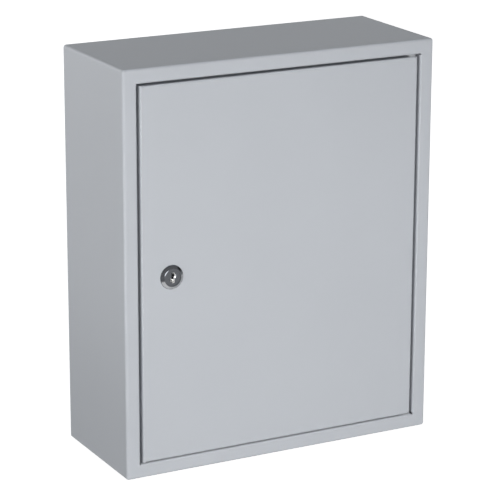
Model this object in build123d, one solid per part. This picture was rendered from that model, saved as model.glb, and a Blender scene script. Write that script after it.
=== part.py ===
"""Steel wall enclosure with an inset door on hidden pivots, a cam lock and a mounting plate.

Lengths are in millimetres. +Z is up, and the door faces -Y. The origin is the centre of
the four wall holes, on the outer face of the back panel.
"""
from build123d import *
from math import sqrt
import os

# Folded body
width = 300.0
height = 360.0
depth = 120.0
sheet = 1.2                     # painted sheet of the body, the back and the door
body_bend = 2.5                 # outer radius of the body's folds

# Front rim and the lips folded back from it, round the door opening
rim_width = 13.0
lip_bend = 1.8                  # outer radius of the fold between rim and lip
lip_end_gap = 0.9               # each lip ends this far from the face of the next lip
corner_relief = 0.5             # how far the notch at each corner reaches into the rim

# Door, a shallow tray that closes flush with the rim
door_depth = 12.0
door_bend = 1.8
door_gap_side = 2.8
door_gap_top = 2.0
door_gap_bottom = 0.8
door_slit = 0.4                 # between the side folds and the ends of the other two

# Door stops, two angles welded to the side wall behind the lip on the lock side
stop_clearance = 0.3            # from the closed door's edge to the stop
stop_sheet = 1.5
stop_height = 22.0
stop_spread = 230.0             # between the two stops
stop_leg = 16.0
stop_bite = 6.0                 # how far a stop reaches behind the door

# Hinge, one headed pin at the top and one at the bottom
hinge_inset = 4.1               # from the door's edge to the pin's axis
hinge_setback = 5.0             # from the door's front to the pin's axis
pin_radius = 2.0
pin_head_radius = 3.0
pin_head_height = 1.5
pin_tail = 4.0                  # the pin's end inside the door
pin_running = 0.08              # radial clearance in the door's holes
spacer_radius = 3.9
spacer_clearance = 0.1          # between a spacer and the door

# Wall holes in the back panel
wall_inset = 20.0               # from the outside of the body to a hole's centre
wall_hole_radius = 4.25

# Mounting plate on four welded studs
plate_margin_side = 30.0        # from the outside of the body to the plate's edge
plate_margin_end = 30.0
plate_thickness = 2.0
plate_corner = 8.0
plate_hole_inset = 15.0         # from the plate's edges to its fixing holes
plate_spacer_height = 12.0

# M6 hardware, for the mounting plate
m6_radius = 3.0
m6_hole_clearance = 0.3
m6_flats = 10.0
m6_nut_height = 5.0
m6_washer_radius = 6.0
m6_washer_height = 1.6
m6_spare = 3.0                  # thread left beyond the nut

# M5 hardware, for the gland plate and the lock cam
m5_radius = 2.5
m5_hole_clearance = 0.3
m5_flats = 8.0
m5_nut_height = 4.0
m5_washer_radius = 5.0
m5_washer_height = 1.0
m5_spare = 2.0

# Gland plate inside the bottom, over a cut-out, with round knock-outs
cutout_width = 200.0
cutout_depth = 60.0
cutout_corner = 6.0
gland_border = 12.0             # overlap of the gland plate round the cut-out
gland_thickness = 1.5
gasket_thickness = 2.0
knockout_count = 3
knockout_radius = 12.7
knockout_pitch = 56.0
knockout_web = 0.7              # sheet left where a knock-out is half punched

# Earth studs, one on the back panel and one on the door, bare for the leads' terminals
body_earth_inset = 16.0         # from the outside of the body
body_earth_rise = 55.0          # above the outside of the bottom
door_earth_inset = 34.0         # from the door's hinge side
door_earth_rise = 30.0          # above the door's lower edge
earth_stud_length = 15.0

# Cam lock
lock_inset = 28.0               # from the door's edge to the lock's axis
lock_drop = 2.1                 # below the middle of the door
bezel_radius = 10.8
bezel_height = 2.8
bezel_land = 0.7                # straight edge of the bezel at the door
bezel_face_radius = 8.2
barrel_radius = 9.4
barrel_flats = 16.0
barrel_clearance = 0.15         # in the door's hole
lock_nut_flats = 23.0
lock_nut_height = 4.0
plug_head_radius = 7.0
plug_head_height = 2.0
plug_radius = 5.5
plug_running = 0.05
plug_recess = 0.3               # the plug's face lies this far behind the bezel's face
keyway_width = 1.8
keyway_height = 8.0
keyway_depth = 11.0
ward_width = 0.9                # the side grooves that give the keyway its profile
ward_height = 2.2
ward_offset = 1.7
cam_clearance = 0.5             # between the cam and the lip it catches
cam_gap = 0.3                   # between the barrel's end and the cam
cam_thickness = 2.0
cam_width = 14.0
cam_heel = 9.0
cam_reach = 38.0
cam_corner = 3.0
drive_size = 7.0                # square end of the plug
cam_screw_depth = 7.0

# Places that follow from the sizes
front = -depth
opening_width = width - 2 * rim_width
opening_height = height - 2 * rim_width
lip_depth = door_depth + stop_clearance
door_width = opening_width - 2 * door_gap_side
door_height = opening_height - door_gap_top - door_gap_bottom
door_z = (door_gap_bottom - door_gap_top) / 2
door_top = door_z + door_height / 2
door_bottom = door_z - door_height / 2
back_inside = -sheet
floor_inside = -height / 2 + sheet
hinge_x = door_width / 2 - hinge_inset
hinge_y = front + hinge_setback
lock_x = -door_width / 2 + lock_inset
lock_z = door_z - lock_drop
wall_hole_x = width / 2 - wall_inset
wall_hole_z = height / 2 - wall_inset
plate_width = width - 2 * plate_margin_side
plate_height = height - 2 * plate_margin_end
plate_back = back_inside - plate_spacer_height
plate_front = plate_back - plate_thickness
plate_hole_x = plate_width / 2 - plate_hole_inset
plate_hole_z = plate_height / 2 - plate_hole_inset
gland_y = front / 2
gland_width = cutout_width + 2 * gland_border
gland_depth = cutout_depth + 2 * gland_border
gland_bolt_x = (cutout_width + gland_border) / 2
gland_bolt_y = (cutout_depth + gland_border) / 2
cam_front = lip_depth + cam_clearance
barrel_length = cam_front - cam_gap
body_earth = (-width / 2 + body_earth_inset, back_inside, -height / 2 + body_earth_rise)
door_earth = (door_width / 2 - door_earth_inset, front + sheet, door_bottom + door_earth_rise)

BACKWARD = (0, 1, 0)
FORWARD = (0, -1, 0)
UP = (0, 0, 1)
RISE = (Align.CENTER, Align.CENTER, Align.MIN)
SINK = (Align.CENTER, Align.CENTER, Align.MAX)


def block(x, y, z):
    """A block between three pairs of limits."""
    limits = (x, y, z)
    middle = [(low + high) / 2 for low, high in limits]
    return Pos(*middle) * Box(*[high - low for low, high in limits])


def placed(piece, point, direction):
    """A piece drawn upwards from the XY plane, moved to a point and turned to a direction."""
    return Plane(origin=point, x_dir=(1, 0, 0), z_dir=direction) * piece


def disc(radius, thickness):
    return Cylinder(radius, thickness, align=RISE)


def ring(outer, inner, thickness):
    return disc(outer, thickness) - disc(inner, thickness)


def hex_bar(flats, thickness):
    return extrude(RegularPolygon(flats / sqrt(3), 6), thickness)


def hex_nut(flats, thickness, bore):
    return hex_bar(flats, thickness) - disc(bore, thickness)


def four_corners(x, y):
    return [(i * x, j * y) for i in (-1, 1) for j in (-1, 1)]


def folded_edge(length, reach, bend, back, side):
    """A fold from the front plane to a flange, along the top of an opening or a panel.

    The flange's outer face is at the height reach and runs back from the front. side is 1
    where the sheet lies beyond that face, as on a lip, and -1 where it lies inside it.
    """
    centre_y = front + bend
    centre_z = reach + side * bend
    inner = bend - sheet
    slant = sqrt(0.5)
    outer_arc = ThreePointArc(
        (front, centre_z),
        (centre_y - bend * slant, centre_z - side * bend * slant),
        (centre_y, reach),
    )
    flange = Polyline(
        (centre_y, reach),
        (front + back, reach),
        (front + back, reach + side * sheet),
        (centre_y, reach + side * sheet),
    )
    inner_arc = ThreePointArc(
        (centre_y, reach + side * sheet),
        (centre_y - inner * slant, centre_z - side * inner * slant),
        (front + sheet, centre_z),
    )
    closing = Line((front + sheet, centre_z), (front, centre_z))
    profile = Plane.YZ * make_face([outer_arc, flange, inner_arc, closing])
    return extrude(profile, length / 2, dir=(1, 0, 0), both=True)


def rounded_tray(x, y, z, radius):
    """A block whose front rim and whose edges along Y are rounded, as folds round them."""
    solid = block(x, y, z)
    edges = solid.edges()
    return fillet(edges.filter_by(Axis.Y) + edges.group_by(Axis.Y)[0], radius)


def front_slab(x_size, z_size):
    """A slab through the front sheet, centred on the opening."""
    x = (-x_size / 2, x_size / 2)
    z = (-z_size / 2, z_size / 2)
    return block(x, (front - sheet, front + 2 * sheet), z)


# Body: one sheet folded into four walls, a front rim and four lips
def make_body_shell():
    outside = rounded_tray(
        (-width / 2, width / 2), (front, 0), (-height / 2, height / 2), body_bend)
    half_x = width / 2 - sheet
    half_z = height / 2 - sheet
    inside = rounded_tray(
        (-half_x, half_x), (front + sheet, sheet), (-half_z, half_z), body_bend - sheet)
    shell = outside - inside

    lip_x = opening_width - 2 * lip_end_gap
    lip_z = opening_height - 2 * lip_end_gap
    shell -= front_slab(lip_x, opening_height + 2 * lip_bend)
    shell -= front_slab(opening_width + 2 * lip_bend, lip_z)
    shell -= front_slab(opening_width + 2 * corner_relief, opening_height + 2 * corner_relief)
    for turn in (0, 180):
        lip = folded_edge(lip_x, opening_height / 2, lip_bend, lip_depth, 1)
        shell += lip.rotate(Axis.Y, turn)
    for turn in (90, 270):
        lip = folded_edge(lip_z, opening_width / 2, lip_bend, lip_depth, 1)
        shell += lip.rotate(Axis.Y, turn)

    for end in (-1, 1):
        edge = end * opening_height / 2
        shell -= Pos(hinge_x, hinge_y, edge) * Cylinder(pin_radius, 4 * sheet)

    cutout = extrude(RectangleRounded(cutout_width, cutout_depth, cutout_corner), 2 * sheet)
    return shell - Pos(0, gland_y, floor_inside - 1.5 * sheet) * cutout


# Back: a flat sheet welded flush into the rear of the body, with the wall holes
def make_back_panel():
    half_x = width / 2 - sheet
    half_z = height / 2 - sheet
    panel = block((-half_x, half_x), (back_inside, 0), (-half_z, half_z))
    panel = fillet(panel.edges().filter_by(Axis.Y), body_bend - sheet)
    for x, z in four_corners(wall_hole_x, wall_hole_z):
        panel -= placed(disc(wall_hole_radius, sheet), (x, back_inside, z), BACKWARD)
    return panel


# Door stops: angles whose tongues stand behind the lip and the door's edge
def make_door_stops():
    wall = -width / 2 + sheet
    tongue_end = -door_width / 2 + stop_bite
    tongue_y = front + lip_depth
    stops = []
    for end in (-1, 1):
        middle = end * stop_spread / 2
        z = (middle - stop_height / 2, middle + stop_height / 2)
        tongue = block((wall, tongue_end), (tongue_y, tongue_y + stop_sheet), z)
        leg = block((wall, wall + stop_sheet), (tongue_y, tongue_y + stop_leg), z)
        stops.append(tongue + leg)
    return Compound(stops)


# Hinge: a headed pin, tight in each lip, reaches through a spacer into the door, which
# turns on it. The pieces are drawn for the top, pointing down from the lip's hidden face.
def make_hinge_pin(gap):
    length = sheet + gap + sheet + pin_tail
    return disc(pin_head_radius, pin_head_height) + Cylinder(pin_radius, length, align=SINK)


def make_hinge_spacer(gap):
    spacer = ring(spacer_radius, pin_radius, gap - spacer_clearance)
    return Pos(0, 0, -sheet - gap + spacer_clearance) * spacer


def at_hinge(piece, end):
    """A hinge piece drawn for the top, put at the top (1) or turned over at the bottom (-1)."""
    if end < 0:
        piece = piece.rotate(Axis.Y, 180)
    return Pos(hinge_x, hinge_y, end * (opening_height / 2 + sheet)) * piece


# Door: a tray folded from one sheet. The side folds run the whole height, and a slit
# parts them from the folds at the top and the bottom.
def make_door_panel():
    bent_x = door_width / 2 - door_bend
    bent_z = door_height / 2 - door_bend
    plate = block((-bent_x, bent_x), (front, front + sheet), (-bent_z, bent_z))
    for turn in (0, 180):
        length = 2 * (bent_x - door_slit)
        fold = folded_edge(length, door_height / 2, door_bend, door_depth, -1)
        plate += fold.rotate(Axis.Y, turn)
    for turn in (90, 270):
        fold = folded_edge(door_height, door_width / 2, door_bend, door_depth, -1)
        plate += fold.rotate(Axis.Y, turn)
    door = Pos(0, 0, door_z) * plate

    for edge in (door_bottom, door_top):
        bore = Cylinder(pin_radius + pin_running, 4 * sheet)
        door -= Pos(hinge_x, hinge_y, edge) * bore
    hole = double_d(barrel_radius + barrel_clearance, barrel_flats + 2 * barrel_clearance, sheet)
    return door - at_lock(Pos(0, 0, -sheet) * hole)


# Lock: its pieces are drawn with +Z out of the door and the door's face at zero
def at_lock(piece):
    return placed(piece, (lock_x, front, lock_z), FORWARD)


def double_d(radius, flats, thickness):
    return disc(radius, thickness) & Box(flats, 2 * radius, thickness, align=RISE)


def make_lock_housing():
    bezel = disc(bezel_radius, bezel_height)
    bezel = chamfer(
        bezel.edges().group_by(Axis.Z)[-1],
        bezel_height - bezel_land,
        bezel_radius - bezel_face_radius,
    )
    barrel = Pos(0, 0, -barrel_length) * double_d(barrel_radius, barrel_flats, barrel_length)
    seat = bezel_height - plug_recess - plug_head_height
    bore = disc(plug_radius + plug_running, barrel_length + bezel_height)
    recess = disc(plug_head_radius + plug_running, bezel_height)
    housing = bezel + barrel - Pos(0, 0, -barrel_length) * bore
    return housing - Pos(0, 0, seat - plug_running) * recess


def make_lock_nut():
    nut = hex_nut(lock_nut_flats, lock_nut_height, barrel_radius)
    return Pos(0, 0, -sheet - lock_nut_height) * nut


def make_lock_plug():
    face = bezel_height - plug_recess
    head = Pos(0, 0, face - plug_head_height) * disc(plug_head_radius, plug_head_height)
    body = Pos(0, 0, -cam_front) * disc(plug_radius, cam_front + face)
    drive = Box(drive_size, drive_size, cam_thickness, align=SINK)
    plug = head + body + Pos(0, 0, -cam_front) * drive
    slot = Box(keyway_width, keyway_height, keyway_depth, align=SINK)
    for side in (-1, 1):
        ward = Box(ward_width, ward_height, keyway_depth, align=SINK)
        ward_x = side * (keyway_width + ward_width) / 2
        slot += Pos(ward_x, side * ward_offset, 0) * ward
    thread = disc(m5_radius, cam_thickness + cam_screw_depth)
    return plug - Pos(0, 0, face) * slot - Pos(0, 0, -cam_front - cam_thickness) * thread


def make_lock_cam():
    """The cam hangs down when the lock is open."""
    x = (-cam_width / 2, cam_width / 2)
    blade = block(x, (-cam_reach, cam_heel), (-cam_thickness, 0))
    uprights = blade.edges().filter_by(Axis.Z).group_by(Axis.Y)
    blade = fillet(uprights[0], cam_corner)
    blade = fillet(blade.edges().filter_by(Axis.Z).group_by(Axis.Y)[-1], 2 * cam_corner)
    blade -= Box(drive_size, drive_size, cam_thickness, align=SINK)
    return Pos(0, 0, -cam_front) * blade


def make_cam_washer():
    washer = ring(m5_washer_radius, m5_radius, m5_washer_height)
    return Pos(0, 0, -cam_front - cam_thickness - m5_washer_height) * washer


def make_cam_screw():
    seat = -cam_front - cam_thickness - m5_washer_height
    head = Pos(0, 0, seat - m5_nut_height) * hex_bar(m5_flats, m5_nut_height)
    shank_length = cam_screw_depth + m5_washer_height
    return head + Pos(0, 0, seat) * disc(m5_radius, shank_length)


# Mounting plate and its fixings
def plate_points(y):
    return [(x, y, z) for x, z in four_corners(plate_hole_x, plate_hole_z)]


def make_mounting_plate():
    plate = extrude(Rectangle(plate_width, plate_height), plate_thickness)
    plate = chamfer(plate.edges().filter_by(Axis.Z), plate_corner)
    for x, z in four_corners(plate_hole_x, plate_hole_z):
        plate -= Pos(x, z, 0) * disc(m6_radius + m6_hole_clearance, plate_thickness)
    return placed(plate, (0, plate_back, 0), FORWARD)


def each_at(piece, points, direction):
    return Compound([placed(piece, point, direction) for point in points])


plate_stud_length = (
    plate_spacer_height + plate_thickness + m6_washer_height + m6_nut_height + m6_spare)


# Gland plate: it lies on a gasket inside the bottom, held by four welded studs
def gland_points(z):
    return [(x, gland_y + y, z) for x, y in four_corners(gland_bolt_x, gland_bolt_y)]


def gland_sheet(thickness):
    blank = extrude(RectangleRounded(gland_width, gland_depth, cutout_corner), thickness)
    for x, y in four_corners(gland_bolt_x, gland_bolt_y):
        blank -= Pos(x, y, 0) * disc(m5_radius + m5_hole_clearance, thickness)
    return blank


def make_gland_gasket():
    window = extrude(RectangleRounded(cutout_width, cutout_depth, cutout_corner), gasket_thickness)
    return Pos(0, gland_y, floor_inside) * (gland_sheet(gasket_thickness) - window)


def make_gland_plate():
    plate = gland_sheet(gland_thickness)
    punched = disc(knockout_radius, gland_thickness - knockout_web)
    for index in range(knockout_count):
        x = (index - (knockout_count - 1) / 2) * knockout_pitch
        plate -= Pos(x, 0, 0) * punched
    return Pos(0, gland_y, floor_inside + gasket_thickness) * plate


gland_top = floor_inside + gasket_thickness + gland_thickness
gland_stud_length = (
    gasket_thickness + gland_thickness + m5_washer_height + m5_nut_height + m5_spare)

# Hardware drawn upwards from its seat
m6_stud = disc(m6_radius, plate_stud_length)
m6_spacer = hex_nut(m6_flats, plate_spacer_height, m6_radius)
m6_washer = ring(m6_washer_radius, m6_radius, m6_washer_height)
m6_nut = hex_nut(m6_flats, m6_nut_height, m6_radius)
m5_stud = disc(m5_radius, gland_stud_length)
m5_washer = ring(m5_washer_radius, m5_radius, m5_washer_height)
m5_nut = hex_nut(m5_flats, m5_nut_height, m5_radius)
earth_stud = disc(m6_radius, earth_stud_length)

plate_nut_seat = plate_front - m6_washer_height
nodes = {
    "body_shell": make_body_shell(),
    "back_panel": make_back_panel(),
    "door_stops": make_door_stops(),
    "hinge_pin_top": at_hinge(make_hinge_pin(door_gap_top), 1),
    "hinge_pin_bottom": at_hinge(make_hinge_pin(door_gap_bottom), -1),
    "hinge_spacer_top": at_hinge(make_hinge_spacer(door_gap_top), 1),
    "hinge_spacer_bottom": at_hinge(make_hinge_spacer(door_gap_bottom), -1),
    "plate_studs": each_at(m6_stud, plate_points(back_inside), FORWARD),
    "plate_spacers": each_at(m6_spacer, plate_points(back_inside), FORWARD),
    "mounting_plate": make_mounting_plate(),
    "plate_washers": each_at(m6_washer, plate_points(plate_front), FORWARD),
    "plate_nuts": each_at(m6_nut, plate_points(plate_nut_seat), FORWARD),
    "gland_gasket": make_gland_gasket(),
    "gland_plate": make_gland_plate(),
    "gland_studs": each_at(m5_stud, gland_points(floor_inside), UP),
    "gland_washers": each_at(m5_washer, gland_points(gland_top), UP),
    "gland_nuts": each_at(m5_nut, gland_points(gland_top + m5_washer_height), UP),
    "body_earth_stud": placed(earth_stud, body_earth, FORWARD),
    "door_panel": make_door_panel(),
    "door_earth_stud": placed(earth_stud, door_earth, BACKWARD),
    "lock_housing": at_lock(make_lock_housing()),
    "lock_nut": at_lock(make_lock_nut()),
    "lock_plug": at_lock(make_lock_plug()),
    "lock_cam": at_lock(make_lock_cam()),
    "cam_washer": at_lock(make_cam_washer()),
    "cam_screw": at_lock(make_cam_screw()),
}

os.makedirs("parts", exist_ok=True)
for name, shape in nodes.items():
    export_step(shape, f"parts/{name}.step")
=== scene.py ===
import bmesh
import bpy
from math import cos, pi, radians, sin, sqrt
from mathutils import Matrix, Vector


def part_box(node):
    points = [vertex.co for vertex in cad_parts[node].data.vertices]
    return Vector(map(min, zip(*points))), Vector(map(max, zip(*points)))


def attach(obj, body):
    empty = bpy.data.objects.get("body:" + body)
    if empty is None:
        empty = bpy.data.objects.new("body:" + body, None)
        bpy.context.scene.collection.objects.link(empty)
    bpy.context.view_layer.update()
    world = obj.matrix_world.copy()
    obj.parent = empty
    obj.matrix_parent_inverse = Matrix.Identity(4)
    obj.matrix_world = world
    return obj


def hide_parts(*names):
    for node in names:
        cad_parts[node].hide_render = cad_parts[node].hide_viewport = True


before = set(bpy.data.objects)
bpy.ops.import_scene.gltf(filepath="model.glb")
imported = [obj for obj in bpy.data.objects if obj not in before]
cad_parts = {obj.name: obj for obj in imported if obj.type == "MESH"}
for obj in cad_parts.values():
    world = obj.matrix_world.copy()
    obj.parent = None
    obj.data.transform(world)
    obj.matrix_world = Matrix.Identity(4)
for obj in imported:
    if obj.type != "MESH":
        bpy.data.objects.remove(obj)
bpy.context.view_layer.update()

# The view: a long lens stands to the left of the door and a little above it. The angles,
# distance and focal length come from the edges of the enclosure in the photograph.
photo_side = 500
focal_pixels = 2357.7
camera_azimuth = radians(-27.9)
camera_elevation = radians(16.3)
camera_roll = radians(0.18)
camera_distance = 2.0954
camera_aim_right = 0.0005
camera_aim_up = -0.0082

body_low, body_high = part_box("body_shell")
body_middle = (body_low + body_high) / 2
camera_data = bpy.data.cameras.new("camera")
camera_data.lens = focal_pixels / photo_side * camera_data.sensor_width
camera = bpy.data.objects.new("camera", camera_data)
bpy.context.scene.collection.objects.link(camera)
bpy.context.scene.camera = camera
level_right = Vector((cos(camera_azimuth), sin(camera_azimuth), 0))
camera_back = Vector((
    sin(camera_azimuth) * cos(camera_elevation),
    -cos(camera_azimuth) * cos(camera_elevation),
    sin(camera_elevation),
))
level_up = camera_back.cross(level_right)
camera_right = cos(camera_roll) * level_right + sin(camera_roll) * level_up
camera_up = camera_back.cross(camera_right)
camera_place = body_middle + camera_back * camera_distance
camera_place += level_right * camera_aim_right + level_up * camera_aim_up
turn = Matrix((camera_right, camera_up, camera_back)).transposed()
camera.matrix_world = Matrix.Translation(camera_place) @ turn.to_4x4()
bpy.context.scene.view_settings.view_transform = "Standard"


# Node trees: materials and repeated pieces are both made of nodes. A Number is a value inside
# a tree, and arithmetic on it adds Math nodes. A NodeTree adds every other node.
class Number:
    def __init__(self, tree, socket):
        self.tree = tree
        self.socket = socket

    def calculate(self, operation, *numbers):
        """Adds a Math node on the given numbers, which may be plain or inside the tree."""
        settings = {"operation": operation}
        return self.tree.add("ShaderNodeMath", settings, dict(enumerate(numbers)))["Value"]

    def __add__(self, other):
        return self.calculate("ADD", self, other)

    def __radd__(self, other):
        return self.calculate("ADD", other, self)

    def __sub__(self, other):
        return self.calculate("SUBTRACT", self, other)

    def __rsub__(self, other):
        return self.calculate("SUBTRACT", other, self)

    def __mul__(self, other):
        return self.calculate("MULTIPLY", self, other)

    def __rmul__(self, other):
        return self.calculate("MULTIPLY", other, self)

    def __truediv__(self, other):
        return self.calculate("DIVIDE", self, other)


class NodeTree:
    def __init__(self, tree):
        self.tree = tree

    def add(self, kind, settings, values):
        """Adds a node: its settings first, then each named socket's value, link or list of links."""
        node = self.tree.nodes.new(kind)
        for name, setting in settings.items():
            setattr(node, name, setting)
        for name, value in values.items():
            socket = self.find(node.inputs, name)
            if isinstance(value, (Number, list)):
                for source in value if isinstance(value, list) else [value]:
                    self.tree.links.new(source.socket, socket)
            else:
                socket.default_value = value
        return {s.name: Number(self, s) for s in node.outputs if s.enabled}

    def find(self, sockets, name):
        """The socket in use by its name, or by its number where several share a name."""
        if isinstance(name, int):
            return sockets[name]
        return next(s for s in sockets if s.enabled and s.name == name)


# Floor and backdrop: a pale studio table that runs on into a white room. Both show white to
# the camera and in reflections, and the floor keeps the enclosure's shadow.
floor_half = 4.0
floor_gap = 0.0002
floor_color = (0.40, 0.40, 0.40, 1)
floor_glow = 0.94
room_light = (0.86, 0.93, 1.0, 1)
room_strength = 0.18


def seen_directly(tree):
    """One for rays from the camera, and for those that a mirror or glass sends on."""
    ray = tree.add("ShaderNodeLightPath", {}, {})
    return ray["Is Camera Ray"] + ray["Is Glossy Ray"] + ray["Is Transmission Ray"]


world = bpy.data.worlds.new("room")
bpy.context.scene.world = world
world.use_nodes = True
world.node_tree.nodes.clear()
room = NodeTree(world.node_tree)
plain = room.add("ShaderNodeBackground", {}, {"Color": room_light, "Strength": room_strength})
white = room.add("ShaderNodeBackground", {}, {"Color": (1, 1, 1, 1), "Strength": 1.0})
both = room.add("ShaderNodeMixShader", {}, {
    0: seen_directly(room), 1: plain["Background"], 2: white["Background"]})
room.add("ShaderNodeOutputWorld", {}, {"Surface": both["Shader"]})

floor_mesh = bpy.data.meshes.new("floor")
floor_z = body_low.z - floor_gap
floor_mesh.from_pydata(
    [(x, y, floor_z) for x, y in (
        (-floor_half, -floor_half), (floor_half, -floor_half),
        (floor_half, floor_half), (-floor_half, floor_half))],
    [], [(0, 1, 2, 3)])
floor = bpy.data.objects.new("floor", floor_mesh)
bpy.context.scene.collection.objects.link(floor)
floor_paint = bpy.data.materials.new("floor_paint")
floor_paint.use_nodes = True
floor_paint.node_tree.nodes.clear()
table_top = NodeTree(floor_paint.node_tree)
matte = table_top.add("ShaderNodeBsdfDiffuse", {}, {"Color": floor_color})
glow_strength = seen_directly(table_top) * floor_glow
glow = table_top.add("ShaderNodeEmission", {}, {"Strength": glow_strength})
lit = table_top.add("ShaderNodeAddShader", {}, {0: matte["BSDF"], 1: glow["Emission"]})
table_top.add("ShaderNodeOutputMaterial", {}, {"Surface": lit["Shader"]})
floor_mesh.materials.append(floor_paint)

# Lamps: soft boxes in front of the enclosure and to its left, so that the door is the
# brightest face and the roof the darkest. Grids narrow two of them, so that the door grows
# lighter and the left wall darker towards the floor. Two more light the far sides.
open_box = 180
front_grid = 60
shoulder_grid = 17
below_door = Vector((body_middle.x, body_low.y, -0.25))
wall_top = Vector((body_low.x, body_middle.y, 0.10))
# Each lamp's name and place, what it is aimed at, its spread in degrees, its side and its watts.
lamps = (
    ("front_box", (-0.3, -2.3, 0.0), below_door, front_grid, 1.0, 5.25),
    ("left_box", (-1.8, -1.4, 0.05), body_middle, open_box, 0.7, 15.6),
    ("shoulder_box", (-0.9, -0.15, 0.3), wall_top, shoulder_grid, 0.35, 0.054),
    ("right_box", (2.2, 0.2, 0.1), body_middle, open_box, 1.2, 17.0),
    ("back_box", (-0.3, 2.2, 0.1), body_middle, open_box, 1.2, 27.0),
)
for name, place, target, spread, side, power in lamps:
    lamp_data = bpy.data.lights.new(name, "AREA")
    lamp_data.size = side
    lamp_data.spread = radians(spread)
    lamp_data.energy = power
    lamp = bpy.data.objects.new(name, lamp_data)
    bpy.context.scene.collection.objects.link(lamp)
    toward = Vector(place) - target
    aim = toward.to_track_quat("Z", "Y").to_matrix().to_4x4()
    lamp.matrix_world = Matrix.Translation(place) @ aim
# The left one is screened, so that polished metal doesn't mirror it.
bpy.data.objects["left_box"].visible_glossy = False

# Flag: a black card stands to the right. It shows only in polished metal, where it gives the
# lock's bezel a dark patch at the upper right.
flag_x = 0.9
flag_y = (-0.40, -0.04)
flag_z = (0.06, 0.56)
flag_mesh = bpy.data.meshes.new("flag")
flag_mesh.from_pydata(
    [(flag_x, flag_y[i], flag_z[j]) for i, j in ((0, 0), (1, 0), (1, 1), (0, 1))],
    [], [(0, 1, 2, 3)])
flag = bpy.data.objects.new("flag", flag_mesh)
bpy.context.scene.collection.objects.link(flag)
flag.visible_camera = False
flag.visible_diffuse = False
flag.visible_shadow = False
flag.visible_transmission = False
flag_cloth = bpy.data.materials.new("flag_cloth")
flag_cloth.use_nodes = True
flag_cloth.node_tree.nodes.clear()
cloth = NodeTree(flag_cloth.node_tree)
black = cloth.add("ShaderNodeBsdfDiffuse", {}, {"Color": (0, 0, 0, 1)})
cloth.add("ShaderNodeOutputMaterial", {}, {"Surface": black["BSDF"]})
flag_mesh.materials.append(flag_cloth)


# Powder coat: light grey polyester paint, baked on the steel. It is semi-matte, and flows
# into a faint ripple finer than a millimetre.
def new_finish(name):
    """A new material, its node tree, and the place on the piece that patterns are laid out by."""
    material = bpy.data.materials.new(name)
    material.use_nodes = True
    material.node_tree.nodes.clear()
    tree = NodeTree(material.node_tree)
    place = tree.add("ShaderNodeTexCoord", {}, {})["Object"]
    return material, tree, place


def noise(tree, place, scale, detail):
    """A cloudy pattern from 0 to 1, with so many clouds to a metre."""
    values = {"Vector": place, "Scale": scale, "Detail": detail}
    return tree.add("ShaderNodeTexNoise", {}, values)["Fac"]


def blend_colors(tree, mask, first, second):
    """The first colour where the mask is 0, and the second where it is 1."""
    values = {"Factor": mask, "A": first, "B": second}
    return tree.add("ShaderNodeMix", {"data_type": "RGBA"}, values)["Result"]


def raised(tree, height, distance):
    """A normal that shows the pattern as bumps of the given height in metres."""
    return tree.add("ShaderNodeBump", {}, {"Height": height, "Distance": distance})["Normal"]


def finish_with(tree, values):
    """Ends a finish's node tree in one shader with the given values."""
    surface = tree.add("ShaderNodeBsdfPrincipled", {}, values)
    tree.add("ShaderNodeOutputMaterial", {}, {"Surface": surface["BSDF"]})


def coat(node, finish):
    """Gives a node its finish and leaves its mesh as it is."""
    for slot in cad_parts[node].material_slots:
        slot.material = finish


powder_coat, tree, place = new_finish("powder_coat")
patches = noise(tree, place, scale=11.0, detail=2.0)
ripple = noise(tree, place, scale=900.0, detail=1.0)
finish_with(tree, {
    "Base Color": blend_colors(tree, patches, (0.538, 0.557, 0.590, 1), (0.566, 0.585, 0.618, 1)),
    "Roughness": 0.43 + 0.05 * patches + 0.04 * ripple,
    "Specular IOR Level": 0.32,
    "Normal": raised(tree, ripple, distance=0.000012),
})

# Body: one sheet folded into four walls, a rim and four lips, with the back welded in. Two
# angles, welded on behind the lip on the lock's side, stop the door. The cut-out in the
# bottom is for cables.
coat("body_shell", powder_coat)
coat("back_panel", powder_coat)
coat("door_stops", powder_coat)

# Zinc plate: the bright bluish finish of bought nuts, washers, studs and pins. They are plated
# in a bath, which leaves fine crystals and a patchy tone.
zinc_plate, tree, place = new_finish("zinc_plate")
stain = noise(tree, place, scale=240.0, detail=3.0)
crystals = noise(tree, place, scale=2600.0, detail=2.0)
finish_with(tree, {
    "Base Color": blend_colors(tree, stain, (0.33, 0.35, 0.38, 1), (0.46, 0.47, 0.48, 1)),
    "Metallic": 1.0,
    "Roughness": 0.42 + 0.12 * stain,
    "Normal": raised(tree, crystals, distance=0.000006),
})

# Hinge: a headed pin, pressed into each lip, carries the door, with a spacer round it in the
# gap. The head is low and domed, and the spacer is painted a darker grey, a painted shade for its place
# deep in the gap.
turn_steps = 48
smooth_angle = radians(32)
same_place = 1e-6


def turned(profile_at, closed):
    """A mesh turned about Z. profile_at gives (radius, height) points for an angle."""
    mesh = bmesh.new()
    rings = []
    for step in range(turn_steps):
        angle = 2 * pi * step / turn_steps
        rings.append([
            mesh.verts.new((radius * cos(angle), radius * sin(angle), height))
            for radius, height in profile_at(angle)])
    count = len(rings[0])
    for near, far in zip(rings, rings[1:] + rings[:1]):
        for here in range(count if closed else count - 1):
            there = (here + 1) % count
            mesh.faces.new((near[here], far[here], far[there], near[there]))
    bmesh.ops.remove_doubles(mesh, verts=mesh.verts, dist=same_place)
    bmesh.ops.recalc_face_normals(mesh, faces=mesh.faces)
    return mesh


def piece_from(mesh, name, finish):
    """A linked object from a bmesh, smooth but for its sharp edges."""
    data = bpy.data.meshes.new(name)
    mesh.to_mesh(data)
    mesh.free()
    return piece_with(data, name, finish)


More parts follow.
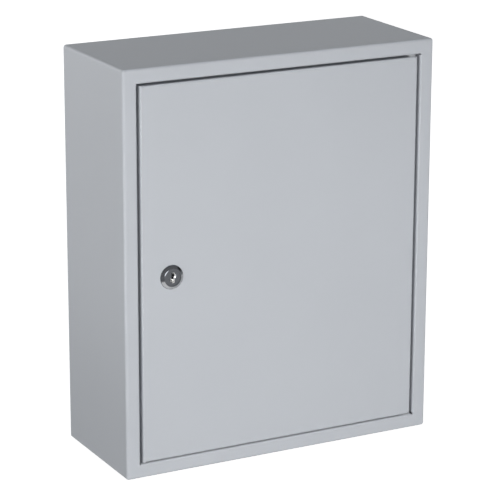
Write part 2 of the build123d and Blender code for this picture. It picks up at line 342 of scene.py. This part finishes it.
def piece_with(data, name, finish):
    """A linked object from finished mesh data."""
    piece = bpy.data.objects.new(name, data)
    bpy.context.scene.collection.objects.link(piece)
    data.materials.clear()
    data.materials.append(finish)
    data.shade_smooth()
    data.set_sharp_from_angle(angle=smooth_angle)
    return piece


def stands_for(piece, node, body):
    """Puts a piece in place of a node, on the node's own body."""
    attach(piece, body)
    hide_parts(node)


# A darker grey than the body's paint: painted shade for the spacer deep in the gap.
spacer_painted_shade, tree, place = new_finish("grey_primer")
dust = noise(tree, place, scale=300.0, detail=2.0)
finish_with(tree, {
    "Base Color": blend_colors(tree, dust, (0.33, 0.34, 0.355, 1), (0.38, 0.39, 0.405, 1)),
    "Roughness": 0.6 + 0.1 * dust,
    "Specular IOR Level": 0.25,
})
pin_head_radius = 0.003
pin_head_height = 0.0015
pin_radius = 0.002
pin_edge = 0.0004
pin_crown = 0.00012
for end, rise in (("top", 1), ("bottom", -1)):
    node = "hinge_pin_" + end
    low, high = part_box(node)
    length = high.z - low.z
    shoulder = length - pin_head_height
    shape = (
        (0, 0), (pin_radius - pin_edge, 0), (pin_radius, pin_edge),
        (pin_radius, shoulder), (pin_head_radius, shoulder),
        (pin_head_radius, length - pin_crown - pin_edge), (pin_head_radius - pin_edge, length - pin_crown),
        (pin_radius, length), (0, length))
    mesh = turned(lambda angle: shape, closed=False)
    pin = piece_from(mesh, "pivot_pin_" + end, zinc_plate)
    foot = low.z if rise > 0 else high.z
    middle = (low + high) / 2
    pin.data.transform(Matrix.Rotation(0 if rise > 0 else pi, 4, "X"))
    pin.data.transform(Matrix.Translation((middle.x, middle.y, foot)))
    stands_for(pin, node, "enclosure")
    coat("hinge_spacer_" + end, spacer_painted_shade)

# Mounting plate: cut from galvanised sheet, which isn't painted, so that the grains of zinc
# show. Four studs on the back carry it.
galvanised, tree, place = new_finish("galvanised_sheet")
grain = tree.add("ShaderNodeTexVoronoi", {"feature": "F1"}, {
    "Vector": place, "Scale": 95.0, "Randomness": 1.0})["Color"]
shade = tree.add("ShaderNodeSeparateColor", {}, {"Color": grain})["Red"]
streak = noise(tree, place, scale=60.0, detail=4.0)
finish_with(tree, {
    "Base Color": blend_colors(tree, 0.7 * shade + 0.3 * streak,
                               (0.27, 0.285, 0.30, 1), (0.42, 0.435, 0.45, 1)),
    "Metallic": 1.0,
    "Roughness": 0.40 + 0.16 * shade + 0.08 * streak,
})
coat("mounting_plate", galvanised)


# Threads: a rod's surface is a grid rolled into a tube, and the thread's groove winds round it.
# The free end is chamfered below the thread, and the welded end runs out to the full radius.
def new_group(name, inputs):
    """A new Geometry Nodes tree, and the numbers and pieces that are given to it."""
    group = bpy.data.node_groups.new(name, "GeometryNodeTree")
    group.interface.new_socket(name="Geometry", in_out="OUTPUT", socket_type="NodeSocketGeometry")
    for label, kind in inputs.items():
        group.interface.new_socket(name=label, in_out="INPUT", socket_type="NodeSocket" + kind)
    tree = NodeTree(group)
    return tree, tree.add("NodeGroupInput", {}, {})


def end_group(tree, geometry, finish):
    """Ends a Geometry Nodes tree: copies are made real and take their finish."""
    real = tree.add("GeometryNodeRealizeInstances", {}, {"Geometry": geometry})["Geometry"]
    done = tree.add("GeometryNodeSetMaterial", {}, {"Geometry": real, "Material": finish})
    tree.add("NodeGroupOutput", {}, {"Geometry": done["Geometry"]})


def grown(tree, name, finish, inputs):
    """The piece that a node tree makes from the given inputs, as a plain mesh."""
    holder = bpy.data.objects.new(name, bpy.data.meshes.new(name))
    bpy.context.scene.collection.objects.link(holder)
    modifier = holder.modifiers.new("nodes", "NODES")
    modifier.node_group = tree.tree
    for item in tree.tree.interface.items_tree:
        if item.in_out == "INPUT":
            modifier[item.identifier] = finish if item.name == "Finish" else inputs[item.name]
    graph = bpy.context.evaluated_depsgraph_get()
    data = bpy.data.meshes.new_from_object(holder.evaluated_get(graph), depsgraph=graph)
    bpy.data.objects.remove(holder)
    return piece_with(data, name, finish)


chamfer_depth = 1.2
rod_inputs = {
    "Radius": "Float", "Length": "Float", "Pitch": "Float", "Depth": "Float",
    "Sides": "Int", "Rows": "Int", "Finish": "Material"}
rod_tree, given = new_group("threaded_rod", rod_inputs)
sheet_grid = rod_tree.add("GeometryNodeMeshGrid", {}, {
    "Size X": 1.0, "Size Y": 1.0, "Vertices X": given["Sides"] + 1, "Vertices Y": given["Rows"]})
spot = rod_tree.add("GeometryNodeInputPosition", {}, {})["Position"]
spot = rod_tree.add("ShaderNodeSeparateXYZ", {}, {"Vector": spot})
lap = spot["X"] + 0.5
along = (spot["Y"] + 0.5) * given["Length"]
wave = lap.calculate("PINGPONG", along / given["Pitch"] - lap, 0.5)
run_out = lap.calculate("MINIMUM", along / given["Pitch"], 1.0)
crest = given["Radius"] - 2 * given["Depth"] * wave * run_out
end_radius = given["Radius"] - chamfer_depth * given["Depth"]
chamfer = end_radius + (given["Length"] - along)
radius = lap.calculate("MINIMUM", crest, chamfer)
angle = lap * (2 * pi)
rolled = rod_tree.add("ShaderNodeCombineXYZ", {}, {
    "X": radius * lap.calculate("COSINE", angle),
    "Y": radius * lap.calculate("SINE", angle),
    "Z": along})["Vector"]
tube = rod_tree.add("GeometryNodeSetPosition", {}, {
    "Geometry": sheet_grid["Mesh"], "Position": rolled})["Geometry"]
ends = []
for end_at, at in ((end_radius, given["Length"]), (given["Radius"], 0.0)):
    lid = rod_tree.add("GeometryNodeMeshCircle", {"fill_type": "NGON"}, {
        "Vertices": given["Sides"], "Radius": end_at})["Mesh"]
    lift = rod_tree.add("ShaderNodeCombineXYZ", {}, {"Z": at})["Vector"]
    ends.append(rod_tree.add("GeometryNodeTransform", {}, {
        "Geometry": lid, "Translation": lift})["Geometry"])
whole = rod_tree.add("GeometryNodeJoinGeometry", {}, {"Geometry": [tube, *ends]})["Geometry"]
whole = rod_tree.add("GeometryNodeMergeByDistance", {}, {
    "Geometry": whole, "Distance": same_place})
end_group(rod_tree, whole["Geometry"], given["Finish"])

rod_sides = 24
rows_per_turn = 6
depth_to_pitch = 0.3


def threaded_rod(name, radius, length, pitch, finish):
    """A rod with its welded end at the origin and its free end up Z."""
    return grown(rod_tree, name, finish, {
        "Radius": radius, "Length": length, "Pitch": pitch, "Depth": depth_to_pitch * pitch,
        "Sides": rod_sides, "Rows": int(rows_per_turn * length / pitch)})


# Patterns: what is fastened at four corners is one piece, copied to the points of a small
# grid. The grid lies where the real pieces are seated.
corner_inputs = {
    "Piece": "Object", "Spacing X": "Float", "Spacing Y": "Float", "Turn": "Rotation",
    "Place": "Vector", "Finish": "Material"}
corner_tree, given = new_group("four_corners", corner_inputs)
points = corner_tree.add("GeometryNodeMeshGrid", {}, {
    "Size X": given["Spacing X"], "Size Y": given["Spacing Y"],
    "Vertices X": 2, "Vertices Y": 2})["Mesh"]
one_piece = corner_tree.add("GeometryNodeObjectInfo", {}, {"Object": given["Piece"]})["Geometry"]
copies = corner_tree.add("GeometryNodeInstanceOnPoints", {}, {
    "Points": points, "Instance": one_piece})
laid = corner_tree.add("GeometryNodeTransform", {}, {
    "Geometry": copies["Instances"], "Translation": given["Place"], "Rotation": given["Turn"]})
end_group(corner_tree, laid["Geometry"], given["Finish"])

# How a piece drawn up Z is turned to point, and which side of its node is then its seat.
forward = ((pi / 2, 0, 0), 1, "y")
backward = ((-pi / 2, 0, 0), 0, "y")
upward = ((0, 0, 0), 0, "z")


def seat_of(node, pointing):
    """The middle of the side on which a node is seated."""
    side, axis = pointing[1:]
    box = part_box(node)
    seat = (box[0] + box[1]) / 2
    setattr(seat, axis, getattr(box[side], axis))
    return seat


def at_corners(piece, node, spacing, pointing, finish):
    """Four copies of a piece in place of a node of the enclosure's body."""
    group = grown(corner_tree, node + "_detail", finish, {
        "Piece": piece, "Spacing X": spacing[0], "Spacing Y": spacing[1],
        "Turn": pointing[0], "Place": seat_of(node, pointing)})
    bpy.data.objects.remove(piece)
    stands_for(group, node, "enclosure")


def seated(piece, node, body, pointing):
    """One piece in place of its node."""
    place = Matrix.Translation(seat_of(node, pointing))
    angle = pointing[0][0]
    piece.data.transform(place @ Matrix.Rotation(angle, 4, "X"))
    stands_for(piece, node, body)


def thickness(node, axis):
    """A node's size along x, y or z."""
    low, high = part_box(node)
    return getattr(high - low, axis)


# Nuts: pressed from hexagon bar. Both faces are turned to a cone that cuts the six corners,
# and the bore is countersunk. Spacers are the same bar, cut long.
cone_slope = 0.5
face_to_flats = 0.95
edge_break = 0.0004


def hexagon(flats, height, bore):
    """The profile of a hexagonal piece, for turned(). Without a bore it is a bolt's head."""
    face = face_to_flats * flats / 2

    def profile_at(angle):
        corner_angle = (angle + pi / 6) % (pi / 3) - pi / 6
        reach = flats / 2 / cos(pi / 6 - abs(corner_angle))
        drop = cone_slope * max(0.0, reach - face)
        outside = [(face, 0), (reach, drop), (reach, height - drop), (face, height)]
        if bore:
            sink = bore + edge_break
            inside = [(sink, height), (bore, height - edge_break), (bore, edge_break), (sink, 0)]
            return outside + inside
        return [(0, 0), *outside, (0, height)]

    return profile_at


def hex_piece(name, flats, height, bore):
    """A nut, or a hexagonal spacer."""
    mesh = turned(hexagon(flats, height, bore), closed=bore > 0)
    return piece_from(mesh, name, zinc_plate)


washer_edge = 0.00018


def washer(name, outer, inner, height):
    """A stamped washer, its edges rolled over a little."""
    edge = washer_edge
    shape = (
        (inner, edge), (inner + edge, 0), (outer - edge, 0), (outer, edge),
        (outer, height - edge), (outer - edge, height), (inner + edge, height),
        (inner, height - edge))
    return piece_from(turned(lambda angle: shape, closed=True), name, zinc_plate)


# Mounting plate's fixings: four M6 studs welded to the back, each with a spacer behind the
# plate and a washer and nut in front of it.
m6_radius = 0.003
m6_pitch = 0.001
m6_flats = 0.010
bore_play = 0.00015
low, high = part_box("plate_studs")
plate_spacing = (high.x - low.x - 2 * m6_radius, high.z - low.z - 2 * m6_radius)
m6_bore = m6_radius + bore_play
m6_washer_radius = 0.006
stud = threaded_rod("stud", m6_radius, thickness("plate_studs", "y"), m6_pitch, zinc_plate)
at_corners(stud, "plate_studs", plate_spacing, forward, zinc_plate)
spacer = hex_piece("spacer", m6_flats, thickness("plate_spacers", "y"), m6_bore)
at_corners(spacer, "plate_spacers", plate_spacing, forward, zinc_plate)
ring = washer("ring", m6_washer_radius, m6_bore, thickness("plate_washers", "y"))
at_corners(ring, "plate_washers", plate_spacing, forward, zinc_plate)
nut = hex_piece("nut", m6_flats, thickness("plate_nuts", "y"), m6_bore)
at_corners(nut, "plate_nuts", plate_spacing, forward, zinc_plate)

# Gasket: a frame cut from closed-cell foam rubber, black and dull. It lies round the cut-out,
# between the bottom and the gland plate.
foam_rubber, tree, place = new_finish("foam_rubber")
cells = tree.add("ShaderNodeTexVoronoi", {"feature": "F1"}, {"Vector": place, "Scale": 1500.0})
pore = cells["Distance"]
finish_with(tree, {
    "Base Color": blend_colors(tree, pore, (0.012, 0.012, 0.013, 1), (0.045, 0.045, 0.048, 1)),
    "Roughness": 0.95 - 0.2 * pore,
    "Normal": raised(tree, pore, distance=0.0002),
})
coat("gland_gasket", foam_rubber)

# Gland plate: painted sheet with three half-punched knock-outs for cable glands. Nuts and
# washers hold it down on M5 studs, which are welded to the bottom.
m5_radius = 0.0025
m5_pitch = 0.0008
m5_flats = 0.008
m5_washer_radius = 0.005
m5_bore = m5_radius + bore_play
coat("gland_plate", powder_coat)
low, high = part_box("gland_studs")
gland_spacing = (high.x - low.x - 2 * m5_radius, high.y - low.y - 2 * m5_radius)
stud = threaded_rod("stud", m5_radius, thickness("gland_studs", "z"), m5_pitch, zinc_plate)
at_corners(stud, "gland_studs", gland_spacing, upward, zinc_plate)
ring = washer("ring", m5_washer_radius, m5_bore, thickness("gland_washers", "z"))
at_corners(ring, "gland_washers", gland_spacing, upward, zinc_plate)
nut = hex_piece("nut", m5_flats, thickness("gland_nuts", "z"), m5_bore)
at_corners(nut, "gland_nuts", gland_spacing, upward, zinc_plate)

# Welds: short stitches of rippled weld metal join the back to the walls. They lie in the
# corner inside, and are painted with the body.
stitch_inputs = {
    "Piece": "Object", "Count": "Int", "Half Width": "Float", "Half Height": "Float",
    "Margin": "Float", "Back": "Float", "Finish": "Material"}
weld_tree, given = new_group("weld_stitches", stitch_inputs)
one_stitch = weld_tree.add("GeometryNodeObjectInfo", {}, {"Object": given["Piece"]})["Geometry"]
sides = []
for quarter in range(4):
    along, across = given["Half Width"], given["Half Height"]
    if quarter % 2:
        along, across = across, along
    span = 2 * (along - given["Margin"])
    first = weld_tree.add("ShaderNodeCombineXYZ", {}, {
        "X": given["Margin"] - along, "Y": given["Back"], "Z": 0 - across})["Vector"]
    step = weld_tree.add("ShaderNodeCombineXYZ", {}, {"X": span / (given["Count"] - 1)})["Vector"]
    line = weld_tree.add("GeometryNodeMeshLine", {"mode": "OFFSET"}, {
        "Count": given["Count"], "Start Location": first, "Offset": step})["Mesh"]
    row = weld_tree.add("GeometryNodeInstanceOnPoints", {}, {
        "Points": line, "Instance": one_stitch})
    sides.append(weld_tree.add("GeometryNodeTransform", {}, {
        "Geometry": row["Instances"], "Rotation": (0, quarter * pi / 2, 0)})["Geometry"])
whole = weld_tree.add("GeometryNodeJoinGeometry", {}, {"Geometry": sides})["Geometry"]
end_group(weld_tree, whole, given["Finish"])

stitches_a_side = 5
stitch_margin = 0.045
stitch_length = 0.016
stitch_leg = 0.0018
least_leg = 0.00009
stitch_rows = 28
stitch_ripples = 11
ripple_share = 0.1
stitch_sink = 0.0002
quarter_steps = 6
mesh = bmesh.new()
rings = []
for row in range(stitch_rows + 1):
    share = 2 * row / stitch_rows - 1
    taper = max(0.0, 1 - share ** 4) ** 0.5
    ripple = abs(sin(share * stitch_ripples * pi / 2))
    leg = max(least_leg, stitch_leg * taper * (1 - ripple_share * ripple))
    x = share * stitch_length / 2
    arc = [pi / 2 * step / quarter_steps for step in range(quarter_steps + 1)]
    section = [(x, -leg * cos(t), leg * sin(t)) for t in arc] + [(x, stitch_sink, -stitch_sink)]
    rings.append([mesh.verts.new(point) for point in section])
for near, far in zip(rings, rings[1:]):
    for here in range(len(near)):
        there = (here + 1) % len(near)
        mesh.faces.new((near[here], far[here], far[there], near[there]))
mesh.faces.new(rings[0])
mesh.faces.new(rings[-1])
bmesh.ops.recalc_face_normals(mesh, faces=mesh.faces)
stitch = piece_from(mesh, "stitch", powder_coat)
panel_low, panel_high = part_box("back_panel")
welds = grown(weld_tree, "back_welds", powder_coat, {
    "Piece": stitch, "Count": stitches_a_side, "Half Width": panel_high.x,
    "Half Height": panel_high.z, "Margin": stitch_margin, "Back": panel_low.y})
bpy.data.objects.remove(stitch)
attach(welds, "enclosure")

# Earth studs: steel studs with a flash of copper, one welded to the back and one to the door.
# They are masked when the steel is painted, so that a lead's terminal touches bare metal.
copper_flash, tree, place = new_finish("copper_flash")
tarnish = noise(tree, place, scale=500.0, detail=3.0)
finish_with(tree, {
    "Base Color": blend_colors(tree, tarnish, (0.62, 0.33, 0.20, 1), (0.80, 0.50, 0.34, 1)),
    "Metallic": 1.0,
    "Roughness": 0.3 + 0.2 * tarnish,
})
for node, body, pointing in (
        ("body_earth_stud", "enclosure", forward), ("door_earth_stud", "door", backward)):
    stud = threaded_rod(node + "_thread", m6_radius, thickness(node, "y"), m6_pitch, copper_flash)
    seated(stud, node, body, pointing)

# Door: a shallow tray folded from one sheet and painted like the body. It closes flush with
# the rim, and turns on the two pins.
coat("door_panel", powder_coat)


# Lock: a die-cast housing and plug in polished chrome, whose colour is darkened as a painted
# reflection of a dark room. Their edges are rounded a little, as casting and plating leave them.
flat_angle = radians(1)
sharp_angle = radians(28)


def flat_faced(node):
    """A copy of a node's mesh, its triangles joined into flat faces."""
    mesh = bmesh.new()
    mesh.from_mesh(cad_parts[node].data)
    bmesh.ops.remove_doubles(mesh, verts=mesh.verts, dist=same_place)
    bmesh.ops.dissolve_limit(mesh, angle_limit=flat_angle, verts=mesh.verts, edges=mesh.edges)
    return mesh


def sharp_edges(mesh):
    return [
        edge for edge in mesh.edges
        if len(edge.link_faces) == 2 and edge.calc_face_angle() > sharp_angle]


def soften(mesh, edges, radius, segments):
    """Rounds the given edges of a mesh."""
    bmesh.ops.bevel(
        mesh, geom=edges, offset=radius, segments=segments, profile=0.5, affect="EDGES",
        clamp_overlap=True)


def chrome(name, deep, shallow, roughness):
    """Chrome over a coloured layer, from its deepest to its palest tone."""
    material, tree, place = new_finish(name)
    smear = noise(tree, place, scale=320.0, detail=3.0)
    finish_with(tree, {
        "Base Color": blend_colors(tree, smear, deep, shallow),
        "Metallic": 1.0,
        "Roughness": roughness + 0.06 * smear,
    })
    return material


# The dark chrome's tone is a painted dark reflection of the room; the nickel's tone is the metal's own.
dark_chrome = chrome("dark_chrome", (0.095, 0.099, 0.108, 1), (0.122, 0.127, 0.137, 1), roughness=0.16)
nickel = chrome("nickel", (0.66, 0.655, 0.645, 1), (0.82, 0.815, 0.80, 1), roughness=0.1)

plug_low, plug_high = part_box("lock_plug")
lock_axis = (plug_low + plug_high) / 2
slope_normals = (0.3, 0.95)


def from_lock_axis(point):
    """How far a point lies from the line that the plug turns about."""
    return sqrt((point.x - lock_axis.x) ** 2 + (point.z - lock_axis.z) ** 2)


def polish_slopes(piece, finish, nearest, farthest):
    """Gives the sloping faces between two distances from the lock's axis another finish."""
    steepest, flattest = slope_normals
    piece.data.materials.append(finish)
    for face in piece.data.polygons:
        sloping = steepest < -face.normal.y < flattest
        if sloping and nearest < from_lock_axis(face.center) < farthest:
            face.material_index = 1


# The bezel's slope is painted darkest, a painted dark reflection, and pale at its lower left,
# a painted reflection of the bright floor below it.
painted_crescent_toward = (0.24, -0.97)
painted_crescent_fade = 0.0016
painted_crescent_unevenness = 0.6
bezel_chrome, tree, place = new_finish("bezel_chrome")
smear = noise(tree, place, scale=320.0, detail=3.0)
spot = tree.add("ShaderNodeSeparateXYZ", {}, {"Vector": place})
across = painted_crescent_toward[0] * (spot["X"] - lock_axis.x)
reach = across + painted_crescent_toward[1] * (spot["Z"] - lock_axis.z)
# This mask paints a pale reflection of the floor on the lower left of the slope.
painted_crescent = reach / painted_crescent_fade + painted_crescent_unevenness * smear
painted_crescent = painted_crescent.calculate("MAXIMUM", painted_crescent.calculate("MINIMUM", painted_crescent, 1.0), 0.0)
finish_with(tree, {
    "Base Color": blend_colors(
        tree, painted_crescent,
        blend_colors(tree, smear, (0.060, 0.063, 0.069, 1), (0.088, 0.092, 0.100, 1)),
        blend_colors(tree, smear, (0.34, 0.345, 0.355, 1), (0.46, 0.465, 0.475, 1))),
    "Metallic": 1.0,
    "Roughness": 0.14 + 0.06 * smear + 0.10 * painted_crescent,
})

lock_edge = 0.0002
bezel_slope = (0.0079, 0.0108)
bezel_dome = 0.00115
bezel_segments = 5
edge_segments = 2
door_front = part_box("door_panel")[0].y
mesh = flat_faced("lock_housing")
bezel_edges = [
    edge for edge in sharp_edges(mesh)
    if all(v.co.y < door_front - lock_edge and from_lock_axis(v.co) > bezel_slope[0]
           for v in edge.verts)]
soften(mesh, bezel_edges, bezel_dome, bezel_segments)
soften(mesh, sharp_edges(mesh), lock_edge, edge_segments)
housing = piece_from(mesh, "lock_bezel_and_barrel", dark_chrome)
polish_slopes(housing, bezel_chrome, *bezel_slope)
stands_for(housing, "lock_housing", "door")

# Plug: the keyway has a bright funnel at its mouth, and the wafers show inside it. A wafer's
# lower and upper end are given from the lock's axis, and then its depth behind the face.
keyway_reach = 0.0046
keyway_width = 0.0018
funnel = 0.00045
wafers = ((0.0007, 0.0022, 0.0030), (-0.0034, -0.0012, 0.0005))
wafer_thickness = 0.0006
wafer_play = 0.00005
wafer_edge = 0.0001
mesh = flat_faced("lock_plug")
mouth = [
    edge for edge in sharp_edges(mesh)
    if all(v.co.y < plug_low.y + same_place and from_lock_axis(v.co) < keyway_reach
           for v in edge.verts)]
soften(mesh, mouth, funnel, segments=1)
plug = piece_from(mesh, "keyed_plug", dark_chrome)
polish_slopes(plug, nickel, 0.0, keyway_reach)
stands_for(plug, "lock_plug", "lock_plug")
mesh = bmesh.new()
for lower, upper, depth in wafers:
    size = (keyway_width - 2 * wafer_play, wafer_thickness, upper - lower)
    middle = (
        lock_axis.x, plug_low.y + depth + wafer_thickness / 2, lock_axis.z + (lower + upper) / 2)
    shape = Matrix.Translation(middle) @ Matrix.Diagonal((*size, 1))
    bmesh.ops.create_cube(mesh, size=1.0, matrix=shape)
soften(mesh, mesh.edges[:], wafer_edge, edge_segments)
wafer_pack = piece_from(mesh, "plug_wafers", nickel)
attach(wafer_pack, "lock_plug")

# Lock's nut: thin, zinc plated and screwed on the barrel from behind. It clamps the bezel to
# the door's sheet.
lock_nut_flats = 0.023
barrel_radius = 0.0094
nut = hex_piece("barrel_nut", lock_nut_flats, thickness("lock_nut", "y"), barrel_radius)
seated(nut, "lock_nut", "door", backward)

# Cam: a blade stamped from plate and zinc plated. A hexagon screw and a washer hold it on the
# plug's square end.
mesh = flat_faced("lock_cam")
soften(mesh, sharp_edges(mesh), lock_edge, edge_segments)
cam = piece_from(mesh, "cam_blade", zinc_plate)
stands_for(cam, "lock_cam", "lock_plug")
ring = washer("cam_ring", m5_washer_radius, m5_bore, thickness("cam_washer", "y"))
seated(ring, "cam_washer", "lock_plug", backward)
screw_head = 0.004
shank = thickness("cam_screw", "y") - screw_head


def screw_profile(angle):
    """The screw's outline: a plain shank below the hexagon head."""
    head = hexagon(m5_flats, screw_head, 0)(angle)
    return [(0, -shank), (m5_radius, -shank), (m5_radius, 0), *head[1:]]


screw = piece_from(turned(screw_profile, closed=False), "cam_bolt", zinc_plate)
screw.data.transform(Matrix.Translation((0, 0, shank)))
seated(screw, "cam_screw", "lock_plug", backward)
